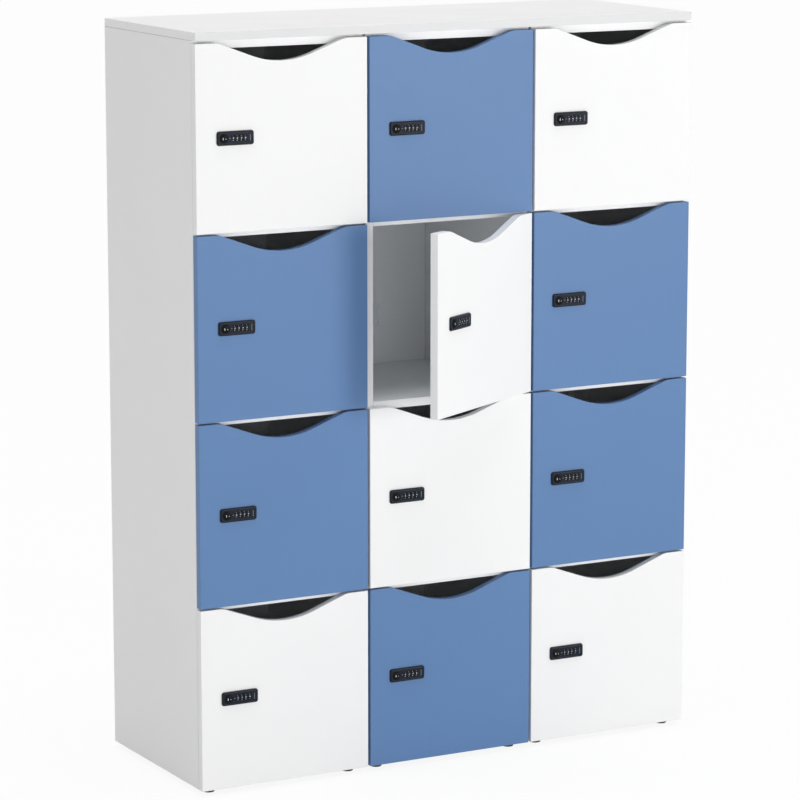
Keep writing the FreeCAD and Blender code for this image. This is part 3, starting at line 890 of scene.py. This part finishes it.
def make_lock_marks():
    face = LOCK_PROUD - FACE_SINK
    bm = bmesh.new()
    for width, height, x in (DASH, END_HIGHLIGHT):
        rings = [plate_ring(width, height, MARK_CORNER, out, 3)
                 for out in (face - PRINT_ROOT, face + PRINT)]
        skin(bm, rings, offset(x))
    return mesh_of("lock_marks_and_highlight", bm, mark_and_highlight_grey)


lock_marks_and_highlight = make_lock_marks()
print("lock marks:", len(lock_marks_and_highlight.polygons), "faces")

# %% [markdown]
# ## Number wheels
#
# Each wheel is a ten-sided drum with a low ridge between its flats for the finger. The digits are
# real type: Blender's own text is turned into a mesh, laid on a flat, and turned round the axle
# for the next one. All four wheels show zero, as a new lock does.

# %% Number wheels
DIGITS = 10
DIGIT_SIZE, DIGIT_WEIGHT = 4.0 * MM, 0.05 * MM
FLAT_HALF, RIDGE_AT = 15, 18
DRUM_CHAMFER = 0.5 * MM
WHEEL_BORE = 1.8 * MM
PAINT = 1
flat_distance = WHEEL_RADIUS * math.cos(math.pi / DIGITS)


def drum_ring(shrink, x):
    """The outline of a wheel about the x axis, with a flat towards the front."""
    ring = []
    for flat in range(DIGITS):
        for degrees, ridge in ((-FLAT_HALF, False), (FLAT_HALF, False), (RIDGE_AT, True)):
            turn = math.radians(360 / DIGITS * flat + degrees)
            on_flat = flat_distance / math.cos(math.radians(FLAT_HALF))
            radius = (WHEEL_RADIUS if ridge else on_flat) - shrink
            ring.append(Vector((x, -radius * math.cos(turn), radius * math.sin(turn))))
    return ring


def bore_ring(x):
    """The bore of a wheel, with as many points as its outline."""
    count = 3 * DIGITS
    turns = [2 * math.pi * i / count - math.radians(FLAT_HALF) for i in range(count)]
    return [Vector((x, -WHEEL_BORE * math.cos(t), WHEEL_BORE * math.sin(t))) for t in turns]


def digit_mesh(digit):
    """One digit as a thin solid in the xz plane, facing the front."""
    text = bpy.data.curves.new("digit", "FONT")
    text.body = str(digit)
    text.size = DIGIT_SIZE
    text.align_x = "CENTER"
    text.align_y = "CENTER"
    text.resolution_u = 3
    text.offset = DIGIT_WEIGHT
    text.extrude = PRINT
    holder = bpy.data.objects.new("digit", text)
    bpy.context.scene.collection.objects.link(holder)
    mesh = evaluated_mesh(holder)
    mesh.transform(Matrix.Rotation(math.pi / 2, 4, "X"))
    bpy.data.objects.remove(holder)
    return mesh


def make_wheels():
    """Four drums with ten digits each; the origin is the middle of the lock on the axle."""
    bm = bmesh.new()
    half = WHEEL_WIDTH / 2
    for x in wheel_places:
        skin(bm, [
            drum_ring(DRUM_CHAMFER, x - half), drum_ring(0, x - half + DRUM_CHAMFER),
            drum_ring(0, x + half - DRUM_CHAMFER), drum_ring(DRUM_CHAMFER, x + half),
            bore_ring(x + half), bore_ring(x - half),
        ], wrap=True)
    bmesh.ops.recalc_face_normals(bm, faces=bm.faces)
    for digit in range(DIGITS):
        mesh = digit_mesh(digit)
        for x in wheel_places:
            start = len(bm.faces)
            known = len(bm.verts)
            bm.from_mesh(mesh)
            bm.verts.ensure_lookup_table()
            bm.faces.ensure_lookup_table()
            turn = Matrix.Rotation(-2 * math.pi * digit / DIGITS, 4, "X")
            place = turn @ Matrix.Translation((x, -flat_distance, 0))
            bmesh.ops.transform(bm, matrix=place, verts=bm.verts[known:])
            for face in bm.faces[start:]:
                face.material_index = PAINT
        bpy.data.meshes.remove(mesh)
    mesh = bpy.data.meshes.new("number_wheels")
    bm.to_mesh(mesh)
    bm.free()
    mesh.materials.append(lock_black)
    mesh.materials.append(number_and_glint_paint)
    return mesh


number_wheels = make_wheels()
print("number wheels:", len(number_wheels.polygons), "faces")

# %% [markdown]
# ## Knob and cam
#
# To the left of the wheels sits a low round knob with a knurled rim, a broad chamfer and a grip
# bar. Beside the grip are a white bar and a white dot, painted glints where the grip catches
# light.
# Its spindle runs through the case to a flat cam behind the door, held by a nut. The cam hangs
# down while the lock is open, and swings in behind the strike plate when the knob is turned.

# %% Knob and cam
KNOB_SEAT = LOCK_PROUD + 0.3 * MM
KNOB_FRONT = KNOB_SEAT + 2.2 * MM
KNOB_RADIUS = 9.5 * MM
KNOB_FLAT = 6.2 * MM
KNOB_TEETH, TOOTH_DEPTH = 36, 0.45 * MM
# Knob: radius, depth of the teeth, distance out
KNOB_PROFILE = (
    (KNOB_RADIUS - 0.6 * MM, 0, KNOB_SEAT),
    (KNOB_RADIUS, TOOTH_DEPTH, KNOB_SEAT + 0.4 * MM),
    (KNOB_RADIUS, TOOTH_DEPTH, KNOB_SEAT + 1.0 * MM),
    (KNOB_RADIUS - 0.6 * MM, 0, KNOB_SEAT + 1.3 * MM),
    (KNOB_FLAT, 0, KNOB_FRONT - 0.1 * MM),
    (KNOB_FLAT - 0.4 * MM, 0, KNOB_FRONT),
)
GRIP_WIDTH, GRIP_LENGTH, GRIP_CORNER, GRIP_DEPTH = 3.6 * MM, 11.6 * MM, 1.7 * MM, 1.5 * MM
# Grip: share of its depth, millimetres drawn in
GRIP_STEPS = ((-0.2, -0.3), (0.5, 0.0), (0.8, 0.25), (0.95, 0.6), (1.0, 1.0))
# Painted glints: place across and up, width, height
KNOB_GLINTS = ((-3.3 * MM, 0, 1.3 * MM, 4.6 * MM), (3.0 * MM, -0.6 * MM, 1.4 * MM, 1.4 * MM))
KNOB_GLINT_CORNER = 0.4 * MM
CAM_DISTANCE = -22.5 * MM
CAM_LENGTH, CAM_WIDTH, CAM_THICKNESS = 38 * MM, 14 * MM, 2.5 * MM
CAM_CORNER, CAM_CHAMFER = 4 * MM, 0.4 * MM
# Washer and nut: radius, distance behind the cam
WASHER = ((6.4 * MM, 0), (6.4 * MM, 0.6 * MM), (6.0 * MM, 0.9 * MM))
NUT = ((5.2 * MM, 0.9 * MM), (5.2 * MM, 3.6 * MM), (4.6 * MM, 4.0 * MM))
STEEL = 2


def make_knob():
    bm = bmesh.new()
    skin(bm, [knurled_ring(radius, depth, out, KNOB_TEETH) for radius, depth, out in KNOB_PROFILE])
    grip = [plate_ring(GRIP_WIDTH - 2 * inset * MM, GRIP_LENGTH - 2 * inset * MM,
                       GRIP_CORNER - inset * MM, KNOB_FRONT + share * GRIP_DEPTH)
            for share, inset in GRIP_STEPS]
    skin(bm, grip)
    # Painted glints: a white bar and a dot, where the grip catches light.
    for x, z, width, height in KNOB_GLINTS:
        glint = [plate_ring(width, height, KNOB_GLINT_CORNER, KNOB_FRONT + rise, 3)
                for rise in (-0.1 * MM, PRINT)]
        skin(bm, glint, offset(x, z), PAINT)
    spindle_ends = (CAM_DISTANCE, KNOB_SEAT + 0.2 * MM)
    skin(bm, [disc_ring(SPINDLE_RADIUS, out, 24) for out in spindle_ends], material=STEEL)
    back = CAM_DISTANCE - CAM_THICKNESS
    cam_height = CAM_LENGTH + CAM_WIDTH / 2
    cam_steps = ((CAM_CHAMFER, CAM_DISTANCE), (0, CAM_DISTANCE - CAM_CHAMFER),
                 (0, back + CAM_CHAMFER), (CAM_CHAMFER, back))
    cam = [plate_ring(CAM_WIDTH - 2 * inset, cam_height - 2 * inset, CAM_CORNER - inset, out)
           for inset, out in cam_steps]
    skin(bm, cam, offset(0, (CAM_WIDTH / 2 - CAM_LENGTH) / 2), STEEL)
    for profile, sides in ((WASHER, 24), (NUT, 6)):
        turned = [disc_ring(radius, back - depth, sides) for radius, depth in profile]
        skin(bm, turned, material=STEEL)
    return smooth_by_angle(mesh_of("lock_knob", bm, knob_black, number_and_glint_paint, nickel))


lock_knob = make_knob()
print("knob and cam:", len(lock_knob.polygons), "faces")

# %% [markdown]
# ## Hinge cups
#
# The doors hang on concealed hinges. Each door has two steel cups pressed into its back, with a
# thin flange and an ear above and below that takes a screw. The cup is a turned shell, so its
# wall has a real thickness where it shows beside the arm.

# %% Hinge cups
CUP_RADIUS = 17.3 * MM
CUP_DEPTH = 11.4 * MM
CUP_WALL = 1.2 * MM
CUP_FROM_HINGE = -19.5 * MM
HINGE_MARGIN = 80 * MM
FLANGE = 0.8 * MM
# Cup, from its bottom over the flange to the inside: radius, distance out
CUP_PROFILE = (
    (CUP_RADIUS, -CUP_DEPTH), (CUP_RADIUS, 0), (CUP_RADIUS + 1.9 * MM, 0),
    (CUP_RADIUS + 1.9 * MM, 0.5 * MM), (CUP_RADIUS + 1.5 * MM, FLANGE),
    (CUP_RADIUS - 0.8 * MM, FLANGE), (CUP_RADIUS - CUP_WALL, 0.4 * MM),
    (CUP_RADIUS - CUP_WALL, CUP_WALL - CUP_DEPTH),
)
EAR_REACH = 24 * MM
# Ear: width, height, corner, distance out
EAR_STEPS = ((13 * MM, 12 * MM, 4 * MM, 0), (13 * MM, 12 * MM, 4 * MM, 0.5 * MM),
             (12.2 * MM, 11.2 * MM, 3.6 * MM, FLANGE - 0.05 * MM))
EAR_SCREW_RADIUS, EAR_SCREW_SEAT = 3.4 * MM, 0.7 * MM
cup_heights = (HINGE_MARGIN, door_high.z - HINGE_MARGIN)


def make_cups():
    """Both cups of a door, in the door's own space; out is measured from the door's back."""
    bm = bmesh.new()
    for height in cup_heights:
        place = Matrix.Translation((CUP_FROM_HINGE, door_high.y, height)) @ BACKWARD
        skin(bm, [disc_ring(radius, out, 40) for radius, out in CUP_PROFILE], place)
        for side in (-1, 1):
            ear = place @ offset(0, side * EAR_REACH)
            skin(bm, [plate_ring(*step) for step in EAR_STEPS], ear)
            add_screw(bm, ear @ offset(0, 0, -EAR_SCREW_SEAT), EAR_SCREW_RADIUS)
    return smooth_by_angle(mesh_of("hinge_cups", bm, nickel))


hinge_cups = make_cups()
print("hinge cups:", len(hinge_cups.polygons), "faces")

# %% Fit out the doors
def in_lock(door):
    return door_space(door) @ lock_space


for door in doors:
    leaf, wheels, knob = "door_" + door, "wheels_" + door, "knob_" + door
    put("lock_case_" + door, lock_case, leaf, in_lock(door), ["fittings_" + door])
    put("lock_marks_and_highlight_" + door, lock_marks_and_highlight, leaf, in_lock(door))
    put("hinge_cups_" + door, hinge_cups, leaf, door_space(door),
        ["fittings_" + door])
    wheels_at = door_space(door) @ Matrix.Translation(axle)
    put("number_wheels_" + door, number_wheels, wheels, wheels_at, [wheels])
    knob_at = in_lock(door) @ offset(knob_x)
    put("lock_knob_" + door, lock_knob, knob, knob_at, [knob])
print(len(doors), "doors fitted out")

# %% [markdown]
# ## Hinge arms, strike plates and their screws
#
# The arms and strike plates keep their CAD solids, with small rounded edges. What CAD leaves out
# is the screws: two adjusting screws on each arm and two in each strike plate. They are one piece
# for the whole locker, since none of them moves.

# %% Wall fittings
ARM_ROUND, STRIKE_ROUND = 0.6 * MM, 0.4 * MM
ARM_SIDE = -27 * MM
ARM_SCREWS, ARM_SCREW_RADIUS = (42 * MM, 68 * MM), 3.4 * MM
STRIKE_INSET = 19.5 * MM
STRIKE_MIDDLE = 42 * MM
STRIKE_SCREWS, STRIKE_SCREW_RADIUS = 11 * MM, 3.0 * MM

round_edges(finish_node("hinge_arms", nickel), ARM_ROUND)
round_edges(finish_node("strike_plates", strike_paint), STRIKE_ROUND)


def make_wall_screws():
    bm = bmesh.new()
    for door in doors:
        hinge = Vector(joints["door_hinge_" + door]["pos_m"])
        for height in cup_heights:
            for depth in ARM_SCREWS:
                spot = hinge + Vector((ARM_SIDE, depth, height))
                add_screw(bm, Matrix.Translation(spot) @ TO_LEFT, ARM_SCREW_RADIUS)
        wall = hinge + Vector((door_low.x + STRIKE_INSET, door_low.y + STRIKE_MIDDLE, axle.z))
        for side in (-1, 1):
            spot = wall + Vector((0, 0, side * STRIKE_SCREWS))
            add_screw(bm, Matrix.Translation(spot) @ TO_RIGHT, STRIKE_SCREW_RADIUS)
    return smooth_by_angle(mesh_of("wall_screws", bm, nickel))


wall_screws = put("wall_screws", make_wall_screws(), "root")
print("wall screws:", len(wall_screws.data.polygons), "faces")

# %% [markdown]
# ## Joining bolts
#
# The columns are bolted to each other through the spacers in their seams. Inside a compartment a
# bolt shows as a low round cap, so each spacer gets one on either side of its two panels.

# %% Bolt caps
CAP_RADIUS = 7.5 * MM
# Cap: share of the radius, millimetres out
CAP_PROFILE = ((1.0, 0.0), (1.0, 0.6), (0.93, 1.1), (0.7, 1.6), (0.35, 1.9))
SPACER = 40 * MM
spacer_low, spacer_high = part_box("column_spacers")
seams = [(column_doors[i][1].x + column_doors[i + 1][0].x) / 2 for i in range(2)]
seam_half = (column_doors[1][0].x - column_doors[0][1].x) / 2
cap_depths = (spacer_low.y + SPACER / 2, spacer_high.y - SPACER / 2)
cap_heights = (spacer_low.z + SPACER / 2, spacer_high.z - SPACER / 2)


def make_caps():
    bm = bmesh.new()
    rings = [disc_ring(share * CAP_RADIUS, out * MM, 24) for share, out in CAP_PROFILE]
    for x in seams:
        for side, turn in ((-1, TO_LEFT), (1, TO_RIGHT)):
            wall = x + side * (seam_half + board)
            for y in cap_depths:
                for z in cap_heights:
                    skin(bm, rings, Matrix.Translation((wall, y, z)) @ turn)
    return smooth_by_angle(mesh_of("bolt_caps", bm, strike_paint))


bolt_caps = put("bolt_caps", make_caps(), "root")
print("bolt caps:", len(bolt_caps.data.polygons), "faces")

# %% [markdown]
# ## Feet
#
# The locker stands on low round feet that only just show under the front. Each is a moulded disc
# with a narrower neck towards the board.

# %% Feet
FOOT_RADIUS = 12.5 * MM
FOOT_INSET = 32 * MM
foot_low, foot_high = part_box("feet")
# Foot: share of the radius, millimetres up
FOOT_PROFILE = ((0.90, 0.0), (0.97, 0.4), (1.0, 1.2), (1.0, 4.5), (0.96, 5.6), (0.80, 6.4),
                (0.74, 7.5), (0.74, foot_high.z / MM))


def make_feet():
    bm = bmesh.new()
    rings = [disc_ring(share * FOOT_RADIUS, out * MM, 32) for share, out in FOOT_PROFILE]
    upright = Matrix.Rotation(-math.pi / 2, 4, "X")
    for low, high in column_doors:
        for x in (low.x + FOOT_INSET, high.x - FOOT_INSET):
            for y in (foot_low.y + FOOT_RADIUS, foot_high.y - FOOT_RADIUS):
                skin(bm, rings, Matrix.Translation((x, y, 0)) @ upright)
    return smooth_by_angle(mesh_of("feet_round", bm, foot_plastic))


feet = put("round_feet", make_feet(), "root", replaced=["feet"])
print("feet:", len(feet.data.polygons), "faces")
